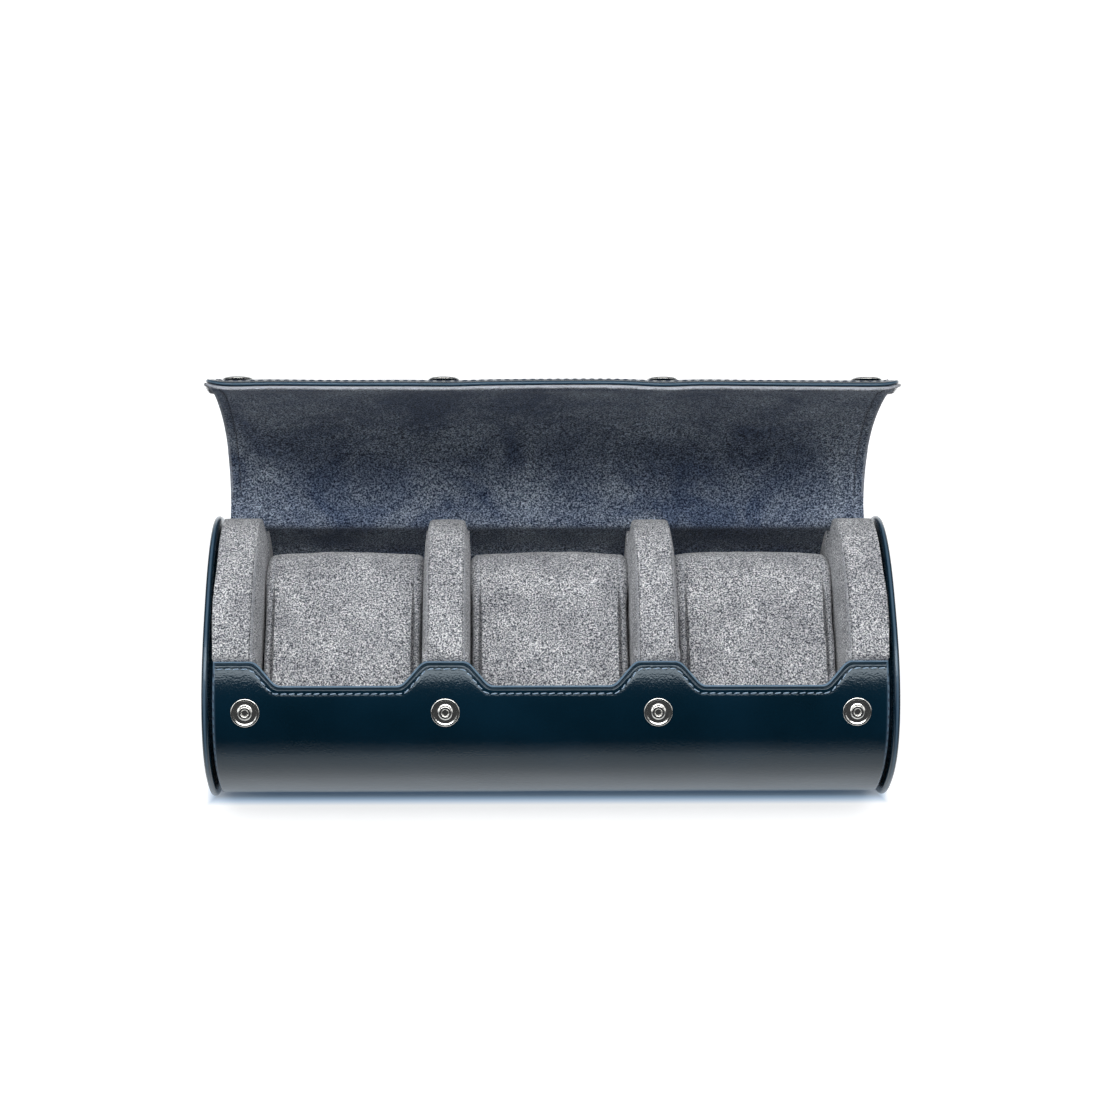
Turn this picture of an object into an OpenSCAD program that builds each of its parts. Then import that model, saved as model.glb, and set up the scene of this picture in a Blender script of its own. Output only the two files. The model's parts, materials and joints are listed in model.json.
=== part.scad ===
// Roll-shaped travel case for three watches: a leather trough with two end discs, two padded
// dividers, three lift-out pillows and a wrap-over lid that bends at the back and closes with snaps.
// Frame: X along the case, Y to the back, Z up, origin on the table under the middle of the case.

/* [Compartments] */
// Clear width of one watch bay between its padded walls
bay_w = 63.6; // [52:0.2:90]
// Thickness of the padded divider between two bays
divider_w = 17.4; // [10:0.2:30]
// Thickness of the padded wall inside each end disc
end_pad_w = 16.2; // [14:0.2:30]
// Thickness of each end disc
disc_w = 4; // [3:0.1:8]

/* [Section] */
// Depth of the end discs, front to back
case_d = 112; // [100:1:140]
// Height of the end discs before the case is flattened underneath
case_h = 84.4; // [76:0.2:110]
// Squareness of the section: 2 is an ellipse, more is boxier
squareness = 2.42; // [2.1:0.02:2.8]
// How far the trough's outside lies inside the end discs' outline
body_step = 1.4; // [0.6:0.1:3]
// How much the trough's leather is flattened where the case stands on it
sole_cut = 0.2; // [0.1:0.05:0.6]

/* [Walls] */
// Leather of the trough
body_leather_t = 1.2; // [0.8:0.1:2]
// Stiffener board in the trough's wall
body_board_t = 1; // [0.6:0.1:2]
// Velvet lining of the trough
body_lining_t = 0.8; // [0.5:0.1:1.5]
// Leather of the lid
lid_leather_t = 1; // [0.8:0.1:1.6]
// Stiffener in the lid
lid_board_t = 0.6; // [0.5:0.1:1.2]
// Velvet lining of the lid
lid_lining_t = 0.8; // [0.5:0.1:1.4]
// Leather drawn over the end discs
disc_leather_t = 1; // [0.9:0.1:1.6]
// Velvet over the padded walls
pad_velvet_t = 0.8; // [0.5:0.1:1.5]

/* [Front lip] */
// Station of the lip behind the padded walls, in degrees up from the front
lip_high = 71.5; // [68:0.5:78]
// Station of the lip in front of each bay
lip_low = 60.7; // [52:0.1:64]
// Width of the sloped step between the two heights
lip_step_w = 8; // [4:0.5:14]

/* [Lid] */
// Height of the bending line, in degrees above the rear of the section
hinge_up = 11.4; // [6:0.1:20]
// Station of the closed lid's free edge, in degrees up from the front
lid_edge = 30.7; // [24:0.1:36]
// Station of the lid's own folding line
fold_at = 92; // [84:1:110]
// Station of the line where the free strip with the snaps bends
strip_at = 60; // [57:0.5:66]
// How far the lid stands open as modelled
open_angle = 78; // [40:1:100]
// How far the free strip is bent out as modelled
strip_angle = 20; // [0:1:30]
// Gap between each side of the lid and the end disc
lid_side_gap = 1.2; // [0.6:0.1:3]
// Gap between the closed lid's lining and the trough's leather
lid_gap = 0.6; // [0.5:0.1:1]
// Radius of the lid's free corners
lid_corner_r = 9.5; // [4:0.5:16]
// How far the raw velvet edge shows past the leather
velvet_past = 1.5; // [0.5:0.1:3]
// Gap across a bending line
bend_gap = 0.3; // [0.2:0.05:0.6]
// Gap between the closed lid's lining and the rims of the padded walls
rim_gap = 0.5; // [0.3:0.1:1.5]

/* [Pillows] */
// Gap between each end of a pillow and the padded wall beside it
pillow_end_gap = 2.2; // [1:0.1:4]
// Depth of a pillow, front to back
pillow_d = 79; // [60:1:81]
// How far a pillow's middle lies behind the middle of the case
pillow_back = 3; // [2:0.5:4]
// Height of a pillow's widest line below the middle of the section
pillow_waist = 7; // [4:0.5:10]
// Top of a pillow below the top of the end discs
pillow_drop = 18.6; // [14:0.2:30]
// Gap between a pillow and the lining that it lies on
pillow_seat_gap = 0.3; // [0.2:0.05:0.6]
// How far a pillow swells between its end seams
pillow_crown = 1.2; // [0.4:0.1:2]
// Distance of the end seam from the pillow's end
pillow_seam = 4.4; // [3.6:0.1:6]
// Depth of the end seam
pillow_seam_cut = 0.7; // [0.3:0.1:1.2]
// Rounding of the pillow's end
pillow_end_r = 3.6; // [2:0.1:4]
// Velvet and batting over the pillow's foam core
pillow_cover_t = 5; // [4:0.5:8]

/* [Snaps] */
// Station of the snaps, in degrees up from the front
snap_at = 47.7; // [43:0.1:52]
// Distance of the outer snaps from the sides of the lid
snap_inset = 11.4; // [8:0.2:14]
// Diameter of the cap outside the lid
cap_d = 11.5; // [8:0.1:14]
// Height of the cap
cap_h = 1.4; // [0.8:0.1:2.4]
// Diameter of the cap's stem
cap_stem_d = 3; // [2:0.1:4]
// Diameter of the stud's flange on the trough
stud_d = 11; // [8:0.1:14]
// Thickness of the stud's flange
stud_flange = 0.45; // [0.3:0.05:0.45]
// Diameter of the stud's post
stud_post_d = 5; // [4.2:0.1:6]
// Height of the stud's post above the lid's inner face
stud_post_in = 0.8; // [0.5:0.05:0.8]
// How far the socket's rim stands out past the stud's flange
socket_over = 0.3; // [0.3:0.05:0.8]
// Play between the stud's post and the socket
socket_play = 0.9; // [0.85:0.05:1]
// Diameter of the rivet's stem, which fills the stud's bore
rivet_d = 2.4; // [1.6:0.1:3]
// Diameter of the rivet's head behind the board
rivet_head_d = 8; // [6:0.1:10]
// Thickness of the rivet's head
rivet_head_t = 0.4; // [0.2:0.05:0.4]

/* [Hidden] */
half_d = case_d / 2;
half_h = case_h / 2;
axis_z = half_h - body_step - sole_cut;
power = 2 / squareness;
inner_half = 1.5 * bay_w + divider_w;
trough_half = inner_half + end_pad_w;
case_half = trough_half + disc_w;
bay_pitch = bay_w + divider_w;
divider_x = bay_pitch / 2;
lid_half = trough_half - lid_side_gap;

body_board_in = body_step + body_leather_t;
body_lining_in = body_board_in + body_board_t;
trough_in = body_lining_in + body_lining_t;
hinge_t = 180 - hinge_up;
trough_t0 = hinge_t - 360;
lid_t = lid_leather_t + lid_board_t + lid_lining_t;
lid_lift = lid_t + lid_gap;

step = 3.5;      // degrees between two points of a section
slack = 1;       // how far a cutting solid runs past what it cuts
pad_shift = 1.2; // degrees by which a pad's shoulder stays behind the lip

pillow_half = bay_w / 2 - pillow_end_gap;
pillow_top = half_h - pillow_drop;
pillow_low = half_h - trough_in - pillow_seat_gap;
pillow_sides = 36;
pillow_top_power = 2 / 3;
pillow_rings = [0, 0.1, 0.3, 0.6, 1];

snap_x = [-(lid_half - snap_inset), -divider_x, divider_x, lid_half - snap_inset];
socket_d = stud_d + 2 * socket_over;
socket_floor_t = 0.3;

leather_blue = "midnightblue";
velvet_grey = "slategray";
metal_silver = "silver";
board_brown = "tan";
foam_white = "ivory";

// ---- Section of the case: stations run from 0 at the front over 90 at the top to 180 at the back ----

function signed_pow(v, e) = sign(v) * pow(abs(v), e);

// Point of the section at station t, drawn in from the end discs' outline
function section(t, inset) = [
    -(half_d - inset) * signed_pow(cos(t), power),
    (half_h - inset) * signed_pow(sin(t), power)
];

// Outward direction of the section at station t
function outward(t, inset) =
    let (y = cos(t), z = sin(t), e = 2 - power,
         g = [-signed_pow(y, e) / (half_d - inset), signed_pow(z, e) / (half_h - inset)])
    g / norm(g);

// Stations from t0 to t1 in even steps
function stations(t0, t1) =
    let (n = ceil(abs(t1 - t0) / step))
    [for (i = [0 : n]) t0 + (t1 - t0) * i / n];

// Degrees of station that span a length along the section near t
function degrees_for(mm, t) = mm / norm(section(t + 1, 0) - section(t, 0));

// Closed lid's outer face: flush at the bending line, lifted clear of the trough's lip at the front
function lid_inset(t) =
    body_step - lid_lift * max(0, min(1, (hinge_t - t) / (hinge_t - lip_low)));

// Rim of a padded wall, just under the closed lid
function rim_inset(t) = lid_inset(t) + lid_t + rim_gap;

// Stations that the layers of the trough share, and those of the lid's three parts
hinge_half_gap = degrees_for(bend_gap / 2, hinge_t);
fold_half_gap = degrees_for(bend_gap / 2, fold_at);
strip_half_gap = degrees_for(bend_gap / 2, strip_at);
trough_stations = stations(trough_t0 + hinge_half_gap, lip_high);
lid_rear_stations = stations(fold_at + fold_half_gap, hinge_t - hinge_half_gap);
lid_front_stations = stations(strip_at + strip_half_gap, fold_at - fold_half_gap);
lid_strip_stations = stations(lid_edge, strip_at - strip_half_gap);

hinge_line = section(hinge_t, body_step);
strip_line = section(strip_at, lid_inset(strip_at));
snap_point = section(snap_at, body_step);
snap_out = outward(snap_at, body_step);
snap_tilt = atan2(-snap_out[0], snap_out[1]);
// Height of a layer above the trough's leather at the snaps, by its depth in the closed lid or the wall
function lid_height(depth) = (section(snap_at, lid_inset(snap_at) + depth) - snap_point) * snap_out;
function wall_height(depth) = (section(snap_at, body_step + depth) - snap_point) * snap_out;

lid_face_h = lid_height(0);
socket_top_h = lid_height(lid_leather_t);
socket_floor_h = socket_top_h - socket_floor_t;
lid_inner_h = lid_height(lid_t);
rivet_head_top_h = wall_height(body_leather_t + body_board_t);
rivet_low_h = rivet_head_top_h - rivet_head_t;

lid_edge_point = section(lid_edge, lid_inset(lid_edge));
lid_edge_out = outward(lid_edge, lid_inset(lid_edge));
lid_edge_tilt = atan2(-lid_edge_out[0], lid_edge_out[1]);

// Runs an outline of [y, z] points along X from x0 to x1
module along(x0, x1, points) {
    translate([x0, 0, 0])
        rotate([90, 0, 90])
            linear_extrude(height = x1 - x0)
                polygon(points);
}

// Everything below the table, for what stands flat on it
module below_table() {
    translate([-case_half - slack, -half_d, -axis_z - half_h])
        cube([2 * (case_half + slack), case_d, half_h]);
}

module at_axis() {
    translate([0, 0, axis_z]) children();
}

// Turns its children back about a bending line at [y, z]
module bent_back(line, angle) {
    translate([0, line[0], line[1]])
        rotate([-angle, 0, 0])
            translate([0, -line[0], -line[1]])
                children();
}

// Turns what is drawn on the closed lid to where the open lid holds it
module lid_open() {
    bent_back(hinge_line, open_angle) children();
}

// The same for the free strip, which is bent out further
module strip_open() {
    lid_open() bent_back(strip_line, strip_angle) children();
}

// ---- Trough ----

// Wall of the trough between two insets, from the bending line under the case to the lip
module trough_wall(outer, inner) {
    last = len(trough_stations) - 1;
    difference() {
        along(-trough_half, trough_half, concat(
            [for (t = trough_stations) section(t, outer)],
            [for (i = [0 : last]) section(trough_stations[last - i], inner)]
        ));
        for (i = [-1 : 1]) translate([i * bay_pitch, 0, 0]) lip_notch();
    }
}

// Lowers the lip in front of one bay, with a slope at each side
module lip_notch() {
    low_y = section(lip_low, body_step)[0];
    high_y = section(lip_high, body_step)[0];
    low_half = bay_w / 2 - lip_step_w;
    slope = lip_step_w / (high_y - low_y);
    run = trough_in + slack;
    linear_extrude(height = half_h)
        polygon([
            [-low_half, low_y], [low_half, low_y],
            [low_half + slope * (high_y - low_y + run), high_y + run],
            [-low_half - slope * (high_y - low_y + run), high_y + run]
        ]);
}

// Stands a solid on the trough at one snap, Z pointing out of the leather
module on_snap(x) {
    translate([x, snap_point[0], snap_point[1]])
        rotate([snap_tilt, 0, 0])
            children();
}

// Cylinder between two heights above the trough's leather
module stud_cylinder(d, from, to) {
    translate([0, 0, from]) cylinder(d = d, h = to - from, $fn = 48);
}

module body_leather() {
    color(leather_blue) at_axis() difference() {
        trough_wall(body_step, body_board_in);
        for (x = snap_x) on_snap(x) stud_cylinder(rivet_d, rivet_low_h, slack);
        below_table();
    }
}

module body_board() {
    color(board_brown) at_axis() difference() {
        trough_wall(body_board_in, body_lining_in);
        for (x = snap_x) on_snap(x) {
            stud_cylinder(rivet_d, rivet_low_h, 0);
            stud_cylinder(rivet_head_d, rivet_low_h, rivet_head_top_h);
        }
    }
}

module body_lining() {
    color(velvet_grey) at_axis() difference() {
        trough_wall(body_lining_in, trough_in);
        for (x = snap_x) on_snap(x) stud_cylinder(rivet_head_d, rivet_low_h, 0);
    }
}

// ---- End discs ----

// Whole section drawn in by an inset
function ring(inset) = [for (t = stations(-180, 180 - step)) section(t, inset)];

// Leather over the left disc's face and edge; mirrored on the right
module disc_leather() {
    difference() {
        along(-case_half, -trough_half, ring(0));
        along(-case_half + disc_leather_t, -trough_half + slack, ring(disc_leather_t));
        below_table();
    }
}

module disc_board() {
    along(-case_half + disc_leather_t, -trough_half, ring(disc_leather_t));
}

module left_disc_leather() {
    color(leather_blue) at_axis() disc_leather();
}

module left_disc_board() {
    color(board_brown) at_axis() disc_board();
}

module right_disc_leather() {
    color(leather_blue) at_axis() mirror([1, 0, 0]) disc_leather();
}

module right_disc_board() {
    color(board_brown) at_axis() mirror([1, 0, 0]) disc_board();
}

// ---- Padded walls and dividers ----

// Outline that fills the trough and rises to the rim where the trough is open, drawn in by cover
function pad_outline(cover) =
    let (shoulder = lip_high + pad_shift * (cover > 0 ? 2 : 1), heel = hinge_t - pad_shift)
    concat(
        [for (t = trough_stations) if (t > trough_t0 + pad_shift) section(t, trough_in + cover)],
        [for (t = stations(shoulder, heel)) section(t, rim_inset(t) + cover)]
    );

module pad_core(x0, x1) {
    along(x0, x1, pad_outline(pad_velvet_t));
}

module pad_velvet(x0, x1) {
    along(x0, x1, pad_outline(0));
}

module left_wall_velvet() {
    color(velvet_grey) at_axis() difference() {
        pad_velvet(-trough_half, -inner_half);
        pad_core(-trough_half - slack, -inner_half - pad_velvet_t);
    }
}

module left_wall_core() {
    color(foam_white) at_axis() pad_core(-trough_half, -inner_half - pad_velvet_t);
}

module right_wall_velvet() {
    color(velvet_grey) at_axis() difference() {
        pad_velvet(inner_half, trough_half);
        pad_core(inner_half + pad_velvet_t, trough_half + slack);
    }
}

module right_wall_core() {
    color(foam_white) at_axis() pad_core(inner_half + pad_velvet_t, trough_half);
}

module divider_core(x) {
    pad_core(x - divider_w / 2 + pad_velvet_t, x + divider_w / 2 - pad_velvet_t);
}

module divider_velvet(x) {
    difference() {
        pad_velvet(x - divider_w / 2, x + divider_w / 2);
        divider_core(x);
    }
}

module left_divider_velvet() {
    color(velvet_grey) at_axis() divider_velvet(-divider_x);
}

module left_divider_core() {
    color(foam_white) at_axis() divider_core(-divider_x);
}

module right_divider_velvet() {
    color(velvet_grey) at_axis() divider_velvet(divider_x);
}

module right_divider_core() {
    color(foam_white) at_axis() divider_core(divider_x);
}

// ---- Pillows ----

// Outline of a pillow: flat-topped above its widest line, and round below it like the trough
function pillow_point(t, inset) =
    let (up = sin(t) >= 0,
         e = up ? pillow_top_power : power,
         high = up ? pillow_top + pillow_waist : pillow_low - pillow_waist)
    [
        pillow_back - (pillow_d / 2 - inset) * signed_pow(cos(t), e),
        -pillow_waist + (high - inset) * signed_pow(sin(t), e)
    ];

function pillow_ring(inset) =
    [for (i = [0 : pillow_sides - 1]) pillow_point(i * 360 / pillow_sides - 180, inset)];

// Draw-in of the velvet at distance d from the pillow's end: rounded end, seam, crown
function pillow_draw_in(d) =
    let (crown = pillow_crown * (1 - sin(90 * min(1, d / pillow_half))),
         left = max(0, pillow_end_r - d),
         end = pillow_end_r - sqrt(pillow_end_r * pillow_end_r - left * left),
         seam = abs(d - pillow_seam) < 0.1 ? pillow_seam_cut : 0)
    crown + end + seam;

// Distances from the end at which the velvet's rings lie
pillow_stations = concat(
    [for (k = pillow_rings) pillow_end_r * k],
    [pillow_seam - 0.5, pillow_seam, pillow_seam + 0.5],
    [for (k = [0.3, 0.6, 1]) pillow_seam + (pillow_half - pillow_seam) * k]
);

module pillow_form() {
    half = [for (d = pillow_stations) [d - pillow_half, pillow_draw_in(d)]];
    count = len(half);
    rings = concat(half, [for (i = [2 : count]) [-half[count - i][0], half[count - i][1]]]);
    n = pillow_sides;
    last = len(rings) - 1;
    points = [for (r = rings) for (q = pillow_ring(r[1])) [r[0], q[0], q[1]]];
    sides = [for (j = [0 : last - 1]) for (i = [0 : n - 1])
        [j * n + i, j * n + (i + 1) % n, (j + 1) * n + (i + 1) % n, (j + 1) * n + i]];
    ends = [[for (i = [0 : n - 1]) n - 1 - i], [for (i = [0 : n - 1]) last * n + i]];
    polyhedron(points = points, faces = concat(sides, ends), convexity = 4);
}

module pillow_core(x) {
    half = pillow_half - pillow_cover_t;
    along(x - half, x + half, pillow_ring(pillow_cover_t + pillow_crown));
}

module pillow_velvet(x) {
    difference() {
        translate([x, 0, 0]) pillow_form();
        pillow_core(x);
    }
}

module left_pillow_velvet() {
    color(velvet_grey) at_axis() pillow_velvet(-bay_pitch);
}

module left_pillow_core() {
    color(foam_white) at_axis() pillow_core(-bay_pitch);
}

module middle_pillow_velvet() {
    color(velvet_grey) at_axis() pillow_velvet(0);
}

module middle_pillow_core() {
    color(foam_white) at_axis() pillow_core(0);
}

module right_pillow_velvet() {
    color(velvet_grey) at_axis() pillow_velvet(bay_pitch);
}

module right_pillow_core() {
    color(foam_white) at_axis() pillow_core(bay_pitch);
}

// ---- Lid, drawn closed and then opened ----

// Layer of the lid between two depths below its outer face
module lid_layer(ts, outer, inner) {
    last = len(ts) - 1;
    along(-lid_half, lid_half, concat(
        [for (t = ts) section(t, lid_inset(t) + outer)],
        [for (i = [0 : last]) section(ts[last - i], lid_inset(ts[last - i]) + inner)]
    ));
}

module lid_rear_layer(outer, inner) {
    lid_layer(lid_rear_stations, outer, inner);
}

// Takes the two free corners off, for a layer that ends past the leather's edge
module lid_corners(past) {
    for (side = [-1, 1])
        translate([side * lid_half, lid_edge_point[0], lid_edge_point[1]])
            rotate([lid_edge_tilt, 0, 0])
                translate([0, -past, -lid_lift - slack])
                    linear_extrude(height = 2 * lid_lift + 2 * slack)
                        difference() {
                            translate([side > 0 ? -lid_corner_r : -slack, -slack])
                                square(lid_corner_r + slack);
                            translate([-side * lid_corner_r, lid_corner_r])
                                circle(r = lid_corner_r, $fn = 64);
                        }
}

module lid_front_layer(outer, inner) {
    lid_layer(lid_front_stations, outer, inner);
}

// Layer of the free strip, with its round corners and the snaps' holes
module lid_strip_layer(outer, inner, past, hole_d) {
    past_edge = past > 0 ? [lid_edge - degrees_for(past, lid_edge)] : [];
    difference() {
        lid_layer(concat(past_edge, lid_strip_stations), outer, inner);
        lid_corners(past);
        for (x = snap_x) on_snap(x) stud_cylinder(hole_d, 0, lid_lift + slack);
    }
}

module lid_rear_leather() {
    color(leather_blue) at_axis() lid_open() lid_rear_layer(0, lid_leather_t);
}

module lid_rear_board() {
    color(board_brown) at_axis() lid_open()
        lid_rear_layer(lid_leather_t, lid_leather_t + lid_board_t);
}

module lid_rear_lining() {
    color(velvet_grey) at_axis() lid_open() lid_rear_layer(lid_leather_t + lid_board_t, lid_t);
}

module lid_front_leather() {
    color(leather_blue) at_axis() lid_open() lid_front_layer(0, lid_leather_t);
}

module lid_front_board() {
    color(board_brown) at_axis() lid_open()
        lid_front_layer(lid_leather_t, lid_leather_t + lid_board_t);
}

module lid_front_lining() {
    color(velvet_grey) at_axis() lid_open() lid_front_layer(lid_leather_t + lid_board_t, lid_t);
}

module lid_strip_leather() {
    color(leather_blue) at_axis() strip_open() difference() {
        lid_strip_layer(0, lid_leather_t, 0, cap_stem_d);
        for (x = snap_x) on_snap(x) stud_cylinder(socket_d, 0, socket_top_h);
    }
}

module lid_strip_board() {
    color(board_brown) at_axis() strip_open()
        lid_strip_layer(lid_leather_t, lid_leather_t + lid_board_t, 0, socket_d);
}

module lid_strip_lining() {
    color(velvet_grey) at_axis() strip_open()
        lid_strip_layer(lid_leather_t + lid_board_t, lid_t, velvet_past, socket_d);
}

// ---- Snaps: heights are measured out from the trough's leather, with the lid closed ----

module snap_caps() {
    color(metal_silver) at_axis() strip_open()
        for (x = snap_x) on_snap(x) {
            rotate_extrude($fn = 64) cap_profile();
            stud_cylinder(cap_stem_d, socket_floor_h, lid_face_h + cap_h / 2);
        }
}

// Half profile of the low domed cap
module cap_profile() {
    rim_h = cap_h / 3;
    dome_h = cap_h - rim_h;
    dome_r = (cap_d * cap_d / 4 + dome_h * dome_h) / (2 * dome_h);
    polygon(concat(
        [[0, lid_face_h], [cap_d / 2, lid_face_h]],
        [for (i = [0 : 8])
            let (r = cap_d / 2 * (1 - i / 8))
            [r, lid_face_h + cap_h - dome_r + sqrt(dome_r * dome_r - r * r)]]
    ));
}

module snap_sockets() {
    color(metal_silver) at_axis() strip_open()
        for (x = snap_x) on_snap(x) difference() {
            stud_cylinder(socket_d, lid_inner_h, socket_top_h);
            stud_cylinder(stud_post_d + 2 * socket_play, 0, socket_floor_h);
            stud_cylinder(cap_stem_d, 0, lid_face_h);
        }
}

module snap_studs() {
    color(metal_silver) at_axis()
        for (x = snap_x) on_snap(x) difference() {
            union() {
                stud_cylinder(stud_d, 0, stud_flange);
                stud_cylinder(stud_post_d, 0, lid_inner_h + stud_post_in);
            }
            stud_cylinder(rivet_d, -slack, lid_face_h);
        }
}

module stud_rivets() {
    color(metal_silver) at_axis()
        for (x = snap_x) on_snap(x) {
            stud_cylinder(rivet_head_d, rivet_low_h, rivet_head_top_h);
            stud_cylinder(rivet_d, rivet_low_h, stud_flange);
        }
}

body_leather();
body_board();
body_lining();
left_disc_leather();
left_disc_board();
right_disc_leather();
right_disc_board();
left_wall_velvet();
left_wall_core();
right_wall_velvet();
right_wall_core();
left_divider_velvet();
left_divider_core();
right_divider_velvet();
right_divider_core();
left_pillow_velvet();
left_pillow_core();
middle_pillow_velvet();
middle_pillow_core();
right_pillow_velvet();
right_pillow_core();
lid_rear_leather();
lid_rear_board();
lid_rear_lining();
lid_front_leather();
lid_front_board();
lid_front_lining();
lid_strip_leather();
lid_strip_board();
lid_strip_lining();
snap_caps();
snap_sockets();
snap_studs();
stud_rivets();
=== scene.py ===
"""Looks of the watch travel case: leather, velvet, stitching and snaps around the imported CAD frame."""

import json
import math

import bmesh
import bpy
import numpy as np
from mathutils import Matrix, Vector
from mathutils.bvhtree import BVHTree


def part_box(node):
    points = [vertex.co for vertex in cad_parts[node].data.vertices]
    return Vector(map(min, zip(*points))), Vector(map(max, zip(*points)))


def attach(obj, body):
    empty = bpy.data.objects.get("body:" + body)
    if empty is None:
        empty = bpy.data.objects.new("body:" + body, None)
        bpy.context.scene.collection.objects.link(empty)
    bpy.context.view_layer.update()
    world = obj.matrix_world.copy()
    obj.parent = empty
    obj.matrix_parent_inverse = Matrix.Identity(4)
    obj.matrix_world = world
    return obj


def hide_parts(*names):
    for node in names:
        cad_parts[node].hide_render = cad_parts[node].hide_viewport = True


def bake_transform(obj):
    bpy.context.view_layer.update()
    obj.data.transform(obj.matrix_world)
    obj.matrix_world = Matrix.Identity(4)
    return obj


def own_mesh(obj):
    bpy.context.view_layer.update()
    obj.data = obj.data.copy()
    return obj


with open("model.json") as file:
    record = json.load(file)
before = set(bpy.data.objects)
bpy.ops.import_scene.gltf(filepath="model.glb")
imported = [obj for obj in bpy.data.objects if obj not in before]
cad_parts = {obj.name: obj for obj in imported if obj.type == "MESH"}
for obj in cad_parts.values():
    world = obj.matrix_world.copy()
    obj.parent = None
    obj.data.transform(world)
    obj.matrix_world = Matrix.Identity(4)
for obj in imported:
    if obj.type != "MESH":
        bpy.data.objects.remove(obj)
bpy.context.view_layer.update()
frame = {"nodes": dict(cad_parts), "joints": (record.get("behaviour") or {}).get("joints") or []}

MM = 0.001

# ---- Sizes: from the frame where it holds them, and otherwise as in the part's source ----

JOINTS = {j["name"]: j for j in frame["joints"]}
HINGE = np.array(JOINTS["lid_hinge"]["pos_m"][1:])
OPEN = math.radians(-JOINTS["lid_hinge"]["range_deg"][0])
BENT_OUT = math.radians(-JOINTS["strip_bend"]["range_deg"][0])

DISC_LOW, DISC_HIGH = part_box("right_disc_leather")
HALF_D = DISC_HIGH.y
HALF_H = 42.2 * MM
AXIS_Z = DISC_HIGH.z - HALF_H
TROUGH_HALF = DISC_LOW.x
CASE_HALF = DISC_HIGH.x
LID_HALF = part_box("lid_strip_leather")[1].x
WALL_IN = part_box("right_wall_velvet")[0].x
DIVIDER = [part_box("right_divider_velvet")[i].x for i in (0, 1)]
DIVIDER_X = sum(DIVIDER) / 2
BAY_PITCH = 2 * DIVIDER_X
BAY_HALF = DIVIDER[0]

POWER = 2 / 2.42
BODY_STEP = 1.4 * MM
WALL_T = 3.0 * MM
LID_T = 2.4 * MM
LID_LIFT = 3.0 * MM
RIM_GAP = 0.5 * MM
LIP_HIGH, LIP_LOW = 71.5, 60.7
LIP_STEP = 8 * MM
HINGE_AT = 168.6
FOLD_AT = 92
STRIP_AT = 60
LID_EDGE = 30.7
SNAP_AT = 47.7
LID_CORNER = 9.5 * MM
VELVET_PAST = 1.5 * MM
SNAP_INSET = 11.4 * MM
SNAP_XS = (-(LID_HALF - SNAP_INSET), -DIVIDER_X, DIVIDER_X, LID_HALF - SNAP_INSET)


def signed_pow(v, e):
    return np.sign(v) * np.abs(v) ** e


def unit(vectors):
    """The same directions with a length of one."""
    return vectors / np.maximum(np.linalg.norm(vectors, axis=-1, keepdims=True), 1e-12)


def run_along(points):
    """Length along a line of points, from the first one to each."""
    return np.concatenate([[0], np.cumsum(np.linalg.norm(np.diff(points, axis=0), axis=1))])


def section(t, inset):
    """Point [y, z] of the case's section at station t in degrees, drawn in by inset."""
    t = np.radians(np.asarray(t, float))
    y = -(HALF_D - inset) * signed_pow(np.cos(t), POWER)
    z = AXIS_Z + (HALF_H - inset) * signed_pow(np.sin(t), POWER)
    return np.stack([y, z], -1)


def lid_inset(t):
    rise = np.clip((HINGE_AT - t) / (HINGE_AT - LIP_LOW), 0, 1)
    return BODY_STEP - LID_LIFT * rise


def spin(points, centre, angle):
    """Turns [y, z] points about a line along X."""
    c, s = np.cos(angle), np.sin(angle)
    d = points - centre
    return centre + np.stack([d[..., 0] * c - d[..., 1] * s, d[..., 0] * s + d[..., 1] * c], -1)


def smoothstep(t, width):
    t = np.clip(t / width, 0, 1)
    return t * t * (3 - 2 * t)


# ---- The wrap: one sheet from the front lip, under the case, up the back and over the closed lid.
# s is the length along its outer face from the high lip, and depth goes in from that face. ----

STATION = np.arange(LIP_HIGH + 6, LID_EDGE - 360 - 6, -0.05)
ON_LID = STATION < HINGE_AT - 360
FACE = section(STATION, np.where(ON_LID, lid_inset(STATION + 360), BODY_STEP))
LENGTH = run_along(FACE)
LENGTH -= np.interp(-LIP_HIGH, -STATION, LENGTH)
ALONG = np.gradient(FACE, LENGTH, axis=0)
OUTWARD = np.stack([ALONG[:, 1], -ALONG[:, 0]], -1)
OUTWARD = unit(OUTWARD * np.sign(((FACE - [0, AXIS_Z]) * OUTWARD).sum(1))[:, None])


def s_at(station):
    return float(np.interp(-station, -STATION, LENGTH))


S_LOW = s_at(LIP_LOW)
S_HINGE = s_at(HINGE_AT - 360)
S_FOLD = s_at(FOLD_AT - 360)
S_STRIP = s_at(STRIP_AT - 360)
S_SNAP = s_at(SNAP_AT - 360)
S_EDGE = s_at(LID_EDGE - 360)
S_EVEN = s_at(24)  # from here on the rear sheet's rows run straight across
S_REAR_END = S_HINGE + 34 * MM  # here the lid's rear and front sheets meet
S_FRONT_END = S_STRIP - 11.5 * MM  # and here the front sheets and the free strip's


def closed(s, depth):
    """Point [y, z] of the wrap with the lid closed."""
    s, depth = np.broadcast_arrays(np.asarray(s, float), np.asarray(depth, float))
    at = [np.interp(s, LENGTH, FACE[:, i]) - depth * np.interp(s, LENGTH, OUTWARD[:, i]) for i in (0, 1)]
    return np.stack(at, -1)


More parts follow.
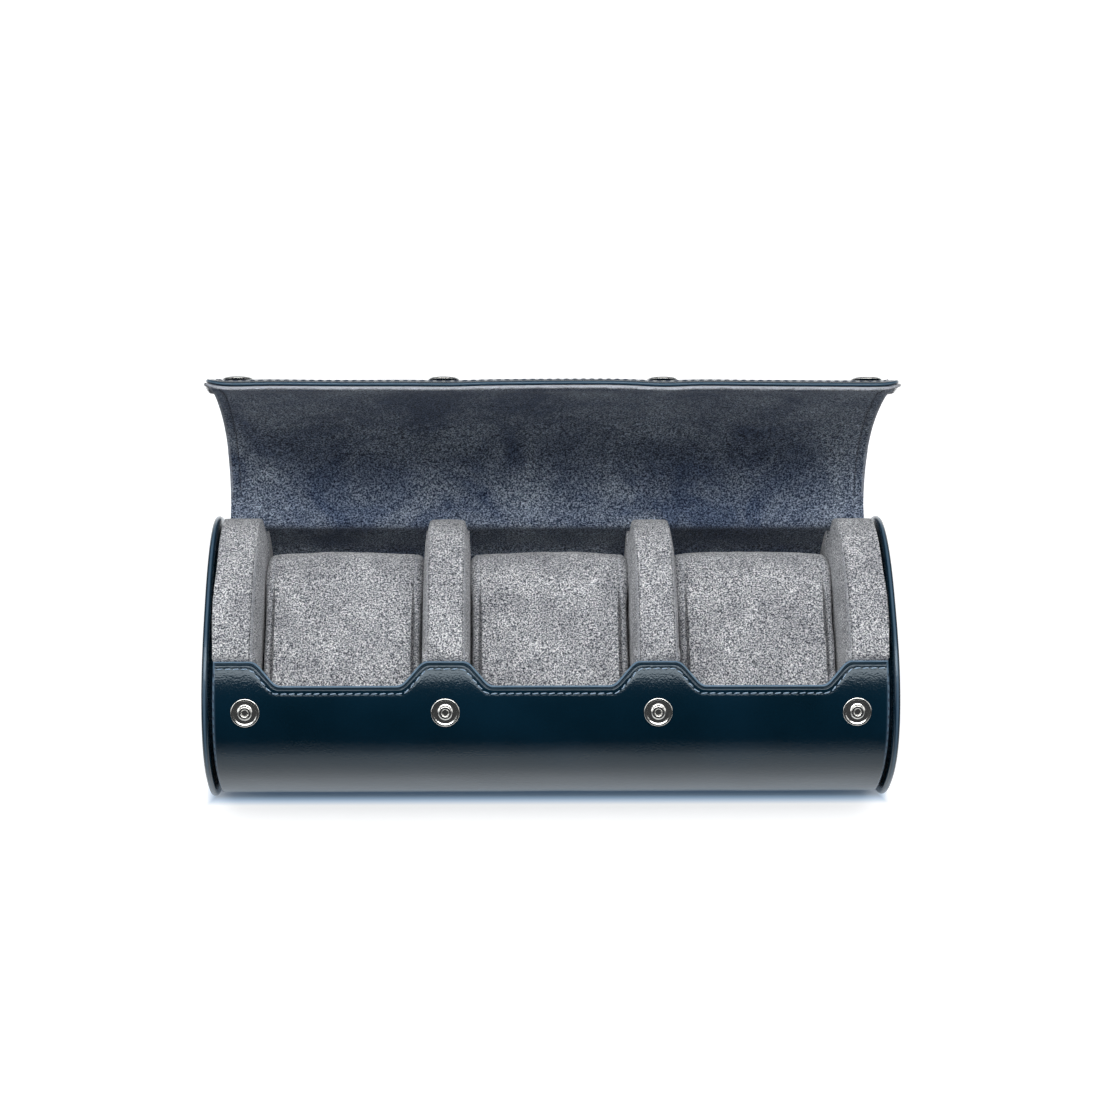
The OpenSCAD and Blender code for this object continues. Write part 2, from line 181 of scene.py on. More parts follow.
class Bend:
    DEPTHS = np.arange(-2, 5.1, 0.5) * MM

    def __init__(self, pivot, angle, s_line, before, after):
        self.pivot, self.angle = pivot, angle
        self.start = closed(s_line - before, 0)
        self.end = spin(closed(s_line + after, 0), pivot, -angle)
        self.reach = np.linspace(s_line - before - 9 * MM, s_line + after + 14 * MM, 900)
        self.rows = np.array([self.row(depth) for depth in self.DEPTHS])

    def row(self, depth):
        shares = np.linspace(0, 1, 161)
        wanted = 0.5 - np.sin(np.arcsin(1 - 2 * shares) / 3)
        run = self.end - self.start
        flat = closed(self.reach, depth)
        found = []
        for share, want in zip(shares, wanted):
            ahead = ((spin(flat, self.pivot, -self.angle * share) - self.start) @ run) / (run @ run)
            found.append(np.interp(want, ahead, self.reach))
        return np.interp(self.reach, np.maximum.accumulate(found), shares)

    def share(self, s, depth):
        rows = np.stack([np.interp(s, self.reach, row) for row in self.rows])
        place = np.clip((depth - self.DEPTHS[0]) / (self.DEPTHS[1] - self.DEPTHS[0]), 0, len(rows) - 1.001)
        low = place.astype(int)
        under, over = (np.take_along_axis(rows, low[None] + i, 0)[0] for i in (0, 1))
        return under + (over - under) * (place - low)

    def turn(self, yz, s, depth):
        return spin(yz, self.pivot, -self.angle * self.share(s, depth))


SNAP_POINT = closed(s_at(SNAP_AT), 0)
SNAP_OUT = unit(closed(s_at(SNAP_AT), -1 * MM) - SNAP_POINT)
REAR_BEND = Bend(HINGE, OPEN, S_HINGE, 4.5 * MM, 8.5 * MM)
STRIP_BEND = Bend(closed(S_STRIP, 0), BENT_OUT, S_STRIP, 9 * MM, 9 * MM)


def sway(s, x):
    """How far the free strip waves outwards between its snaps."""
    between = np.ones_like(x)
    for at in SNAP_XS:
        between = between * (1 - np.exp(-((x - at) / (11 * MM)) ** 2))
    wave = 0.55 + 0.45 * np.sin(x * 2 * math.pi / 0.171 + 0.9)
    return 0.75 * MM * between * wave * smoothstep(s - S_STRIP, S_EDGE - S_STRIP)


def wrap(s, x, depth):
    """Point [x, y, z] of the wrap as the open lid holds it. Nothing goes below the table."""
    s, x, depth = np.broadcast_arrays(*(np.asarray(v, float) for v in (s, x, depth)))
    depth = depth - sway(s, x)
    yz = STRIP_BEND.turn(closed(s, depth), s, depth)
    yz = REAR_BEND.turn(yz, s, depth)
    return np.stack([x, yz[..., 0], np.maximum(yz[..., 1], 0)], -1)


# ---- The lip in front of the bays, as rows at a distance d below it ----

LIP_SLOPE = math.atan2(S_LOW, LIP_STEP)
LIP_SOFT = 1.7 * MM


def lip_row(x, d):
    """Place s of the row at distance d from the lip: high behind the pads, low in front of a bay."""
    shift = np.asarray(d) * math.tan(LIP_SLOPE / 2)
    total = 0.0
    offsets = np.linspace(-LIP_SOFT, LIP_SOFT, 9)
    for off in offsets:
        from_bay = np.abs((x + off + BAY_PITCH / 2) % BAY_PITCH - BAY_PITCH / 2)
        beyond = np.abs(x + off) > 1.5 * BAY_PITCH
        high = np.where(beyond, 1, np.clip((from_bay - shift - BAY_HALF + LIP_STEP) / LIP_STEP, 0, 1))
        total = total + S_LOW * (1 - high)
    return total / len(offsets) + d


# ---- Mesh helpers ----

def ripple(a, b, seed, waves=((0.046, 1), (0.027, 0.6), (0.015, 0.35))):
    """Gentle seeded unevenness over a surface, between about -1 and 1."""
    rng = np.random.default_rng(seed)
    total = 0.0
    for wave, weight in waves:
        for _ in range(3):
            turn, phase = rng.uniform(0, 2 * math.pi, 2)
            along = a * np.cos(turn) + b * np.sin(turn)
            total = total + weight / 3 * np.sin(along * 2 * math.pi / wave + phase)
    return total


def grid_faces(rows, cols, first=0, around=False):
    faces = []
    last = cols if around else cols - 1
    for here in range(first, first + (rows - 1) * cols, cols):
        for j in range(last):
            k = (j + 1) % cols
            faces.append((here + j, here + k, here + cols + k, here + cols + j))
    return faces


def closed_faces(rows, cols, first=0):
    """Faces of a form made of rings, with both ends filled."""
    last = first + (rows - 1) * cols
    ends = [tuple(range(first, first + cols))[::-1], tuple(range(last, last + cols))]
    return grid_faces(rows, cols, first, True) + ends


def ring_at(x, yz):
    """Points of a ring that stands across the case at x."""
    return np.column_stack([np.full(len(yz), x), yz])


def end_rings(rim, middle, shares, bulge=0.0, power=2):
    """Rings that shrink from a rim to its middle, to close an end that bulges along X."""
    x, yz = rim[0, 0], rim[:, 1:]
    return [ring_at(x + bulge * (1 - k ** power), middle + (yz - middle) * k) for k in shares]


def circle(first, second, sides):
    """Points around a circle in the plane of two directions, for each pair of them."""
    turn = 2 * np.pi * np.arange(sides)[:, None] / sides
    return first[..., None, :] * np.cos(turn) + second[..., None, :] * np.sin(turn)


def placed(name, data):
    """A new object in the scene."""
    obj = bpy.data.objects.new(name, data)
    bpy.context.scene.collection.objects.link(obj)
    return obj


def piece(name, verts, faces, material, weld=1e-7):
    mesh = bpy.data.meshes.new(name)
    mesh.from_pydata(np.asarray(verts, float).reshape(-1, 3).tolist(), [], faces)
    bm = bmesh.new()
    bm.from_mesh(mesh)
    bmesh.ops.remove_doubles(bm, verts=bm.verts, dist=weld)
    bmesh.ops.dissolve_degenerate(bm, edges=bm.edges, dist=weld)
    bmesh.ops.recalc_face_normals(bm, faces=bm.faces)
    for f in bm.faces:
        f.smooth = True
    bm.to_mesh(mesh)
    bm.free()
    mesh.materials.append(material)
    return placed(name, mesh)


def shell(name, outer, inner, material, rim=None):
    """Skin over two grids of points that meet at their edges, or are joined along one row of them."""
    rows, cols = outer.shape[:2]
    verts = np.concatenate([outer.reshape(-1, 3), inner.reshape(-1, 3)])
    faces = grid_faces(rows, cols) + grid_faces(rows, cols, rows * cols)
    if rim is not None:
        first, second = rim * cols, (rows + rim) * cols
        faces += [(first + j, first + j + 1, second + j + 1, second + j) for j in range(cols - 1)]
    return piece(name, verts, faces, material)


def rounding(d, radius):
    """How far a rounded edge falls away at distance d from it, as a share of the radius."""
    left = np.clip(1 - d / radius, 0, 1)
    return 1 - np.sqrt(1 - left ** 2)


def groove(d, at, width):
    return np.exp(-((d - at) / width) ** 2)


def spread(low, high, spacing):
    """Even places about a spacing apart."""
    return np.linspace(low, high, int((high - low) / spacing) + 1)


def edge_steps(radius, count=7):
    """Distances from an edge at even angles of its rounding."""
    return [radius * (1 - math.cos(math.pi / 2 * i / count)) for i in range(count + 1)]


FINE = [d * MM for d in (1.3, 1.6, 1.9, 2.2, 2.5, 2.9, 3.3, 3.7, 4.0, 4.3, 4.7, 5.2, 6.0, 7.0)]


def columns(half, step=0.75 * MM):
    """Places across the sheet as shares from -1 to 1, close together near both sides."""
    side = [half - d for d in edge_steps(1.0 * MM) + FINE]
    middle = spread(0, side[-1], step)[:-1]
    right = np.concatenate([middle, side[::-1]])
    return np.concatenate([-right[:0:-1], right]) / half


# ---- Materials ----

def srgb(r, g, b):
    return [((c / 255 + 0.055) / 1.055) ** 2.4 if c > 10 else c / 255 / 12.92 for c in (r, g, b)] + [1]


class Graph:
    """The nodes of a material or of the world."""

    def __init__(self, owner):
        owner.use_nodes = True
        self.nodes, self.links = owner.node_tree.nodes, owner.node_tree.links

    def feed(self, socket, value):
        """Feeds a socket from another one, or gives it a fixed value."""
        if isinstance(value, bpy.types.NodeSocket):
            self.links.new(value, socket)
        else:
            socket.default_value = value

    def place(self, kind="Object"):
        coords = self.nodes.get("coords") or self.nodes.new("ShaderNodeTexCoord")
        coords.name = "coords"
        return coords.outputs[kind]

    def place_xyz(self, kind="Object"):
        split = self.nodes.new("ShaderNodeSeparateXYZ")
        self.links.new(self.place(kind), split.inputs[0])
        return split.outputs

    def attribute(self, name):
        made = self.nodes.new("ShaderNodeAttribute")
        made.attribute_name = name
        return made.outputs["Fac"]

    def texture(self, kind, **inputs):
        """A texture laid over the object's own coordinates."""
        made = self.nodes.new("ShaderNodeTex" + kind)
        self.feed(made.inputs["Vector"], self.place())
        for name, value in inputs.items():
            self.feed(made.inputs[name], value)
        return made

    def noise(self, scale, detail=2.0, rough=0.5, distortion=0.0, output="Fac"):
        made = self.texture("Noise", Scale=scale, Detail=detail, Roughness=rough, Distortion=distortion)
        return made.outputs[output]

    def ramp(self, source, stops):
        made = self.nodes.new("ShaderNodeValToRGB")
        elements = made.color_ramp.elements
        while len(elements) < len(stops):
            elements.new(0.5)
        for element, (place, color) in zip(elements, stops):
            element.position = place
            element.color = (*color[:3], 1)
        self.links.new(source, made.inputs["Fac"])
        return made.outputs["Color"]

    def mixed(self, mode, amount, a, b):
        mix = self.nodes.new("ShaderNodeMix")
        mix.data_type = "RGBA"
        mix.blend_type = mode
        for socket, value in (("Factor", amount), (6, a), (7, b)):
            self.feed(mix.inputs[socket], value)
        return mix.outputs[2]

    def calc(self, operation, *values, kind="Math"):
        node = self.nodes.new("ShaderNode" + kind)
        node.operation = operation
        for socket, value in zip(node.inputs, values):
            self.feed(socket, value)
        return node.outputs[0]


class Shader(Graph):
    """A material with its Principled shader."""

    def __init__(self, name, color, roughness, **inputs):
        self.mat = bpy.data.materials.new(name)
        super().__init__(self.mat)
        self.bsdf = self.nodes["Principled BSDF"]
        for key, value in {"Base Color": color, "Roughness": roughness, **inputs}.items():
            self.bsdf.inputs[key.replace("_", " ")].default_value = value

    def drive(self, name, source):
        self.links.new(source, self.bsdf.inputs[name])

    def bump(self, height, strength, distance):
        """Adds a bump over those made before."""
        made = self.nodes.new("ShaderNodeBump")
        made.inputs["Strength"].default_value = strength
        made.inputs["Distance"].default_value = distance
        self.links.new(height, made.inputs["Height"])
        before = self.bsdf.inputs["Normal"].links
        if before:
            self.links.new(before[0].from_socket, made.inputs["Normal"])
        self.drive("Normal", made.outputs["Normal"])


def leather_material():
    """Navy leather: fine pebble grain, cloudy dye, and a pale colour where the edge attribute says so,
    partly burnished edge and partly painted highlight.
    """
    look = Shader("navy_leather", srgb(4, 25, 40), 0.2, Specular_IOR_Level=0.4,
                  Specular_Tint=(0.8, 0.92, 1, 1))
    dye = look.ramp(look.noise(26, 3), [(0.3, srgb(0, 24, 37)), (0.7, srgb(4, 33, 49))])
    # Pale colour where the edge attribute says so: a painted highlight along rolled edges and rims, partly a
    # burnished edge.
    edge = look.attribute("edge")
    look.drive("Base Color", look.mixed("MIX", edge, dye, srgb(110, 138, 162)))
    jitter = look.noise(700, 1, output="Color")
    shifted = look.calc("MULTIPLY_ADD", jitter, (0.0006,) * 3, look.place(), kind="VectorMath")
    pebble = look.texture("Voronoi", Scale=1500, Vector=shifted)
    pebble.feature = "SMOOTH_F1"
    look.feed(pebble.inputs["Smoothness"], 0.6)
    look.bump(pebble.outputs["Distance"], 0.4, 0.0001)
    look.bump(look.noise(420, 4, 0.6), 0.13, 0.0003)
    gloss = look.calc("MULTIPLY_ADD", look.noise(900), 0.07, 0.13)
    look.drive("Roughness", look.calc("MULTIPLY_ADD", edge, -0.05, gloss))
    return look.mat


def velvet_material(name, tones, patch_tones, grain=1700, patch=75):
    """Short velvet nap: speckle at the size of its tufts, brushed patches, sheen at grazing angles, and
    painted highlights and painted seam shade where the attributes say so.
    """
    look = Shader(name, tones[1], 0.95, Specular_IOR_Level=0.1, Sheen_Weight=0.3, Sheen_Roughness=0.4)
    tufts = look.noise(grain, 3, 0.6, 0.3)
    speckle = look.ramp(tufts, list(zip((0.38, 0.5, 0.62), tones)))
    patches = look.noise(patch, 4, 0.6, 0.6)
    brushed = look.ramp(patches, list(zip((0.36, 0.64), patch_tones)))
    nap = look.mixed("MULTIPLY", 1.0, speckle, brushed)
    # Painted highlight: a pale colour at ridges by seams, pad corners and raw edges, where part of it is the
    # edge's own paler fibres. Painted shade: a dark colour in seam grooves.
    for attribute, color in (("painted_highlight_and_raw_edge", srgb(206, 210, 219)), ("seam", srgb(24, 26, 31))):
        nap = look.mixed("MIX", look.attribute(attribute), nap, color)
    look.drive("Base Color", nap)
    look.bump(tufts, 0.9, 0.0005)
    look.bump(patches, 0.25, 0.0012)
    return look.mat


def thread_material(name, color, shade):
    look = Shader(name, color, 0.6, Sheen_Weight=0.3)
    twist = look.texture("Wave", Scale=900, Distortion=1.5).outputs["Fac"]
    look.drive("Base Color", look.ramp(twist, [(0.2, shade), (0.7, color)]))
    look.bump(twist, 0.5, 0.0001)
    return look.mat


def metal_material():
    look = Shader("snap_nickel", srgb(215, 214, 210), 0.16, Metallic=1.0)
    look.drive("Roughness", look.calc("MULTIPLY_ADD", look.noise(1500, 3), 0.16, 0.1))
    look.bump(look.noise(600), 0.08, 0.0001)
    return look.mat


LEATHER = leather_material()
VELVET = velvet_material("grey_velvet", (srgb(56, 59, 66), srgb(166, 169, 175), srgb(255, 255, 255)),
                         (srgb(218, 218, 220), srgb(255, 255, 255)))
LINING = velvet_material("lining_velvet", (srgb(50, 59, 76), srgb(119, 132, 151), srgb(208, 222, 241)),
                         (srgb(156, 165, 182), srgb(255, 252, 248)), 1550, 30)
THREAD_LIGHT = thread_material("light_blue_thread", srgb(176, 200, 222), srgb(104, 132, 158))
THREAD_DARK = thread_material("navy_thread", srgb(24, 42, 72), srgb(10, 20, 38))
THREAD_GREY = thread_material("grey_thread", srgb(150, 156, 164), srgb(84, 88, 96))
METAL = metal_material()


# ---- Sheets of leather and lining ----

LEATHER_T = 1.2 * MM
LID_LEATHER_T = 1.55 * MM
SHEET_HALF = TROUGH_HALF - 0.1 * MM
FLAP = 5.0 * MM


def corner_half(e, half, radius):
    """Half width at distance e from the free edge, with its rounded corners."""
    inside = np.clip(radius - e, 0, radius)
    return half - radius + np.sqrt(np.maximum(radius ** 2 - inside ** 2, 0))


def outline_distance(x, e, half, radius):
    """Distance from the lid's outline with its two rounded corners."""
    across = np.abs(x) - (half - radius)
    down = radius - e
    corner = radius - np.hypot(np.maximum(across, 0), np.maximum(down, 0))
    return np.where((across > 0) & (down > 0), corner, np.minimum(half - np.abs(x), e))


def calm(d, s):
    """Where a sheet is uneven: away from its edges, and from where the rear and front sheets meet."""
    return smoothstep(d, 8 * MM) * smoothstep(np.abs(s - S_REAR_END), 12 * MM)


def rear_grid(first, spacing, widen=0.0):
    """Grids of s, x, distance from the lip and distance from the side for the rear sheet."""
    near = [d for d in first if d < 7 * MM] + [7 * MM, 8.5 * MM]
    shares = np.linspace(0, 1, int((S_EVEN - near[-1]) / spacing) + 1)[1:, None]
    bend_low, bend_high = S_HINGE - 9 * MM, S_HINGE + 13 * MM
    rest = np.concatenate([
        spread(S_EVEN, bend_low, spacing)[1:],
        np.linspace(bend_low, bend_high, 33)[1:],
        spread(bend_high, S_REAR_END, spacing)[1:]])[:, None]
    near = np.array(near)[:, None]
    along, eased = len(near), len(near) + len(shares)

    def rows_at(x):
        """Rows that follow the lip, rows that even out, and straight ones."""
        easing = (1 - shares) * lip_row(x[along:eased], near[-1]) + shares * S_EVEN
        return np.concatenate([lip_row(x[:along], near), easing, rest + 0 * x[eased:]])

    share = np.repeat(columns(SHEET_HALF)[None], eased + len(rest), 0)
    on_lid = smoothstep(rows_at(share * SHEET_HALF) - S_HINGE + 3 * MM, 7 * MM)
    half = SHEET_HALF + (LID_HALF - SHEET_HALF) * on_lid + widen
    x = share * half
    s = rows_at(x)
    d_lip = s - lip_row(x, 0.0)
    d_lip[:along] = near
    return s, x, d_lip, half - np.abs(x)


def front_grid(spacing):
    """Grids of s, x and distance from the side for the sheet over the folding line."""
    share = columns(SHEET_HALF)
    rows = spread(S_REAR_END, S_FRONT_END, spacing)
    s = np.repeat(rows[:, None], len(share), 1)
    x = np.repeat(share[None] * LID_HALF, len(rows), 0)
    return s, x, LID_HALF - np.abs(x)


def strip_grid(first, spacing, past=0.0):
    """Grids of s, x and distance from the outline for the free strip."""
    share = columns(SHEET_HALF)
    edge = S_EDGE + past
    near = [d for d in first if d < 7 * MM] + list(np.arange(7, 10.5, 0.8) * MM)
    last = edge - near[-1]
    plain = spread(S_FRONT_END, last, spacing)[:-1]
    rows = np.concatenate([plain, edge - np.array(near[::-1])])
    s = np.repeat(rows[:, None], len(share), 1)
    half = corner_half(edge - rows, LID_HALF, LID_CORNER)[:, None]
    x = share[None] * half
    return s, x, outline_distance(x, edge - s, LID_HALF, LID_CORNER)


def mark(obj, attribute, points, values):
    """Stores a value at each point of the mesh, found by its place: how strong a painted highlight, a
    burnish and painted seam shade are there.
    """
    made = obj.data.attributes.new(attribute, "FLOAT", "POINT")
    points, values = np.asarray(points).reshape(-1, 3), np.asarray(values).ravel()
    lookup = {tuple(np.round(p * 1e6).astype(int)): v for p, v in zip(points, values)}
    found = [lookup.get(tuple(int(round(c * 1e6)) for c in v.co), 0.0) for v in obj.data.vertices]
    made.data.foreach_set("value", np.array(found, np.float32))


SEWN_IN = 4.0 * MM
LIP_EDGE = 0.75 * MM
SEWN_LIP = 3.15 * MM
LIP_STEPS = edge_steps(LIP_EDGE) + [0.85 * MM, 1.0 * MM, 1.15 * MM] + FINE
LID_STEPS = edge_steps(LID_LEATHER_T / 2) + [0.9 * MM] + FINE


def make_rear_leather():
    s, x, d_lip, d_side = rear_grid(LIP_STEPS, 2.4 * MM)
    on_lid = smoothstep(s - S_HINGE + 4 * MM, 10 * MM)
    turned_in = 1 - smoothstep(d_lip - FLAP, 2 * MM)
    thick = LEATHER_T + (WALL_T - LEATHER_T) * turned_in + (LID_LEATHER_T - LEATHER_T) * on_lid
    middle = thick * 0.5 + (1 - on_lid) * 0.35 * MM * (1 - turned_in)
    side_fall = rounding(d_side, 0.95 * MM)
    lip_fall = LIP_EDGE * rounding(d_lip, LIP_EDGE)
    crease = 0.3 * MM * groove(d_lip, 1.2 * MM, 0.28 * MM)
    channel = 0.12 * MM * groove(d_lip, SEWN_LIP, 0.6 * MM)
    side_line = on_lid * (0.12 * MM * groove(d_side, 1.7 * MM, 0.3 * MM)
                          + 0.1 * MM * groove(d_side, SEWN_IN, 0.6 * MM))
    outer = np.maximum(middle * side_fall, lip_fall) + (crease + channel + side_line) * (1 - side_fall)
    inner = thick - np.maximum((thick - middle) * side_fall, lip_fall)
    outer = outer + 0.07 * MM * ripple(x, s, 3) * calm(np.minimum(d_lip, d_side), s)
    top, under = wrap(s, x, outer), wrap(s, x, inner)
    obj = shell("rear_leather_sheet", top, under, LEATHER, 0)
    # Painted highlight along the lip's roll and the rounded sides, partly a burnished edge.
    burnish_and_painted_highlight = np.maximum(groove(d_lip, 0.2 * MM, 0.42 * MM), 0.8 * groove(d_side, 0.4 * MM, 0.45 * MM))
    mark(obj, "edge", top, burnish_and_painted_highlight)
    blend_hinge(obj)
    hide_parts("body_leather", "body_board", "lid_rear_leather", "lid_rear_board")


def lid_leather(name, s, x, d):
    """Leather of the lid's front half: rounded at its outline, with the crease and the sewn channel."""
    half = LID_LEATHER_T / 2
    fall = rounding(d, half)
    lines = 0.14 * MM * groove(d, 1.5 * MM, 0.28 * MM) + 0.1 * MM * groove(d, SEWN_IN, 0.6 * MM)
    outer = half * fall + lines * (1 - fall)
    inner = LID_LEATHER_T - half * fall
    outer = outer + 0.07 * MM * ripple(x, s, 4) * calm(d, s)
    top, under = wrap(s, x, outer), wrap(s, x, inner)
    obj = shell(name, top, under, LEATHER)
    # Painted highlight along the outline's rounded edge, partly a burnished edge.
    mark(obj, "edge", top, 0.35 * groove(d, 0.1 * MM, 0.3 * MM))
    return obj


def make_front_leather():
    obj = lid_leather("front_leather_sheet", *front_grid(1.8 * MM))
    blend_fold(obj)
    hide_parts("lid_front_leather", "lid_front_board")
    obj = lid_leather("strip_leather_sheet", *strip_grid(LID_STEPS, 1.4 * MM))
    blend_strip(obj)
    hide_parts("lid_strip_leather", "lid_strip_board")


def blend_hinge(obj):
    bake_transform(obj)


FOLD_SPREAD = 11 * MM


def blend_fold(obj):
    """Bakes the sheet's place into its mesh; the points on both sides of the folding line are found but not
    used.
    """
    low, high = (wrap(S_FOLD + side * FOLD_SPREAD, 0, LID_T) for side in (-1, 1))
    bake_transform(obj)


def blend_strip(obj):
    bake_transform(obj)


def lining(name, s, x, face, thick, fall, dents, uneven, raw, seam):
    """Velvet sheet at a depth, with rounded edges, sewn dents, a pale raw edge that is partly painted
    highlight, and painted shade along the sewn seam.
    """
    middle = face - thick / 2
    top = wrap(s, x, face + (middle - face) * fall - dents * (1 - fall) + uneven)
    under = wrap(s, x, face - thick + thick / 2 * fall)
    obj = shell(name, top, under, LINING)
    # The pale raw edge is partly painted highlight; the seam value paints shade into the sewn dent.
    mark(obj, "painted_highlight_and_raw_edge", np.stack([top, under]), np.stack([0.75 * raw] * 2))
    mark(obj, "seam", top, 0.5 * seam)
    return obj


def make_rear_lining():
    s, x, d_lip, d_side = rear_grid(LIP_STEPS + [FLAP + 0.2 * MM], 2.6 * MM, 0.1 * MM)
    keep = d_lip[:, 0] > FLAP
    s, x, d_lip, d_side = s[keep], x[keep], d_lip[keep], d_side[keep]
    fall = np.maximum(rounding(d_lip - d_lip.min(), 0.4 * MM), rounding(d_side, 0.4 * MM))
    face = WALL_T + (LID_T - WALL_T) * smoothstep(s - S_HINGE + 6 * MM, 14 * MM)
    on_lid = smoothstep(s - S_HINGE - 8 * MM, 8 * MM)
    lines = groove(d_side, SEWN_IN, 0.5 * MM) + 0.5 * groove(d_side, 8.2 * MM, 0.9 * MM)
    uneven = 0.16 * MM * ripple(x, s, 8) * calm(d_side, s) * on_lid
    # Pale raw edge along the sides, partly painted highlight, and painted shade in the sewn dent.
    raw = 0.6 * smoothstep(1.3 * MM - d_side, 0.5 * MM) * on_lid
    seam = groove(d_side, SEWN_IN, 0.3 * MM) * on_lid
    dents = 0.3 * MM * on_lid * lines
    obj = lining("rear_lining_sheet", s, x, face, 0.75 * MM, fall, dents, uneven, raw, seam)
    blend_hinge(obj)
    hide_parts("body_lining", "lid_rear_lining")


def lid_lining(name, s, x, d, past):
    """Velvet inside the lid's front half; past is how far it shows past the leather's edge."""
    inside = np.minimum(d, np.maximum(S_EDGE - s, 0)) if past else d
    dents = 0.32 * MM * groove(inside, SEWN_IN, 0.5 * MM) + 0.14 * MM * groove(d, 8.6 * MM, 0.9 * MM)
    pressed = 0.3 * MM * np.exp(-((s - S_STRIP) / (13 * MM)) ** 2)
    for at in SNAP_XS:
        pressed = np.maximum(pressed, 0.3 * MM * np.exp(-(np.hypot(x - at, s - S_SNAP) / (9 * MM)) ** 4))
    uneven = 0.18 * MM * ripple(x, s, 9) * calm(d, s)
    from_edge = S_EDGE + past - s
    ragged = 0.22 * MM * ripple(x, 0 * x, 5, ((0.011, 1), (0.0047, 0.8), (0.0019, 0.7)))
    torn = ragged * (1 - smoothstep(from_edge, 1.4 * MM))
    # Pale raw edge at the sides and past the leather's edge, partly painted highlight, and painted shade in
    # the sewn dent.
    raw = np.maximum(0.6 * smoothstep(1.3 * MM - d, 0.5 * MM),
                     smoothstep(from_edge - 2.7 * MM, -0.8 * MM))
    seam = groove(inside, SEWN_IN, 0.3 * MM) * (1 - raw)
    return lining(name, s + torn, x, np.full_like(s, LID_T), 0.8 * MM, rounding(d, 0.42 * MM),
                  dents + pressed, uneven, raw, seam)


def open_strip(yz):
    """Where a point of the closed strip is with the strip bent out and the lid open."""
    return spin(spin(yz, STRIP_BEND.pivot, -BENT_OUT), HINGE, -OPEN)


HOLE_R = 4.6 * MM


def cut_snap_holes(obj):
    """The holes in the velvet that the sockets are set in; their flanges cover the cut edges."""
    point = open_strip(SNAP_POINT)
    along = open_strip(SNAP_POINT + SNAP_OUT) - point
    bm = bmesh.new()
    bm.from_mesh(obj.data)
    cut = []
    for face in bm.faces:
        centre = face.calc_center_median()
        away = np.array(centre[1:]) - point
        height = away @ along
        beside = away @ away - height ** 2
        near = [x for x in SNAP_XS if beside + (centre.x - x) ** 2 < HOLE_R ** 2]
        if near and abs(height) < 6 * MM:
            cut.append(face)
    bmesh.ops.delete(bm, geom=cut, context="FACES")
    bm.to_mesh(obj.data)
    bm.free()


def make_front_lining():
    s, x, d = front_grid(1.8 * MM)
    obj = lid_lining("front_lining_sheet", s, x, d, 0.0)
    blend_fold(obj)
    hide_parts("lid_front_lining")
    steps = edge_steps(0.42 * MM, 5) + FINE
    obj = lid_lining("strip_lining_sheet", *strip_grid(steps, 1.4 * MM, VELVET_PAST), VELVET_PAST)
    cut_snap_holes(obj)
    blend_strip(obj)
    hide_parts("lid_strip_lining")


# ---- End discs ----

def disc_profile():
    """Half profile of the wrapped disc as (distance out from the trough's end, inset)."""
    recess = [(-0.4, 5.2), (0.9, 5.0), (1.15, 3.4), (1.25, 2.0), (1.3, 1.3)]
    turns = np.radians(np.arange(-84, 85, 8))
    rim = [(2.6 + 1.25 * math.sin(a), 0.06 + 1.15 * (1 - math.cos(a))) for a in turns]
    face = [(3.86, 1.5), (3.9, 2.2), (3.72, 2.5), (3.72, 2.75), (3.9, 3.2), (3.98, 4.2), (4.0, 7)]
    return [(x * MM, i * MM) for x, i in recess + rim + face]


def make_disc(side, name):
    stations = np.arange(0, 360, 1.5)
    profile = disc_profile()
    middle = np.array([0, AXIS_Z])
    rows = [ring_at(side * (TROUGH_HALF + x), section(stations, inset)) for x, inset in profile]
    back = end_rings(rows[0], middle, (0.12, 0.6))
    face = end_rings(rows[-1], middle, (0.85, 0.6, 0.35, 0.12))
    rows = np.array(back + rows + face)
    rows[..., 2] = np.maximum(rows[..., 2], 0)
    obj = piece(name, rows, closed_faces(*rows.shape[:2]), LEATHER)
    plain = 9.0
    insets = [plain] * len(back) + [inset / MM for _, inset in profile] + [plain] * len(face)
    # Painted highlight down the crown of the rim, partly a burnished edge.
    burnish_and_painted_highlight = 0.55 * np.exp(-(np.array(insets) / 0.13) ** 2)
    mark(obj, "edge", rows, np.repeat(burnish_and_painted_highlight, len(stations)))
    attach(obj, "case")
    hand = "left" if side < 0 else "right"
    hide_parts(hand + "_disc_leather", hand + "_disc_board")


# ---- Padded walls and dividers ----

PAD_ROUND = 0.9 * MM
PAD_SLOPE = 1.9 * MM
PAD_DROP = 7.5 * MM
PAD_SEAM = 2.1 * MM
PAD_CLEAR = section(LIP_HIGH, 0)[..., 1] + 1 * MM
PAD_STEPS = [d * MM for d in (0, 0.3, 0.6, 0.9, 1.15, 1.35, 1.55, 1.75, 1.9, 2.0, 2.1, 2.2, 2.3, 2.45,
                              2.7, 3.2, 4.2, 5.4)]
PAD_HIDDEN_STEPS = [0, 1.5 * MM, 3 * MM, 5 * MM]


def pad_ring(fall, spring):
    """Outline of a pad: against the lining below, and rising to the rim. Under an open lid it springs up."""
    below = section(np.linspace(-187.5, LIP_HIGH - 0.6, 84), BODY_STEP + WALL_T + 0.05 * MM)
    t = np.linspace(LIP_HIGH + 1.2, HINGE_AT - 1.2, 64)
    ends = smoothstep(t - t[0], 4) * smoothstep(t[-1] - t, 3)
    rise = spring * smoothstep(t - 48, 46) * smoothstep(166 - t, 9)
    rim = section(t, lid_inset(t) + LID_T + RIM_GAP - rise + fall * ends + 0.6 * MM * (1 - ends))
    return np.concatenate([below, rim])


def pad_fall(d):
    """How far a pad lies below its rim at distance d from its open side."""
    steep = PAD_DROP * max(0.0, 1 - d / PAD_SLOPE) ** 1.25
    corner = PAD_ROUND * rounding(max(d - 0.6 * PAD_SLOPE, 0), 1.6 * PAD_ROUND)
    return max(steep, corner) + 0.35 * MM * groove(d, PAD_SEAM, 0.22 * MM)


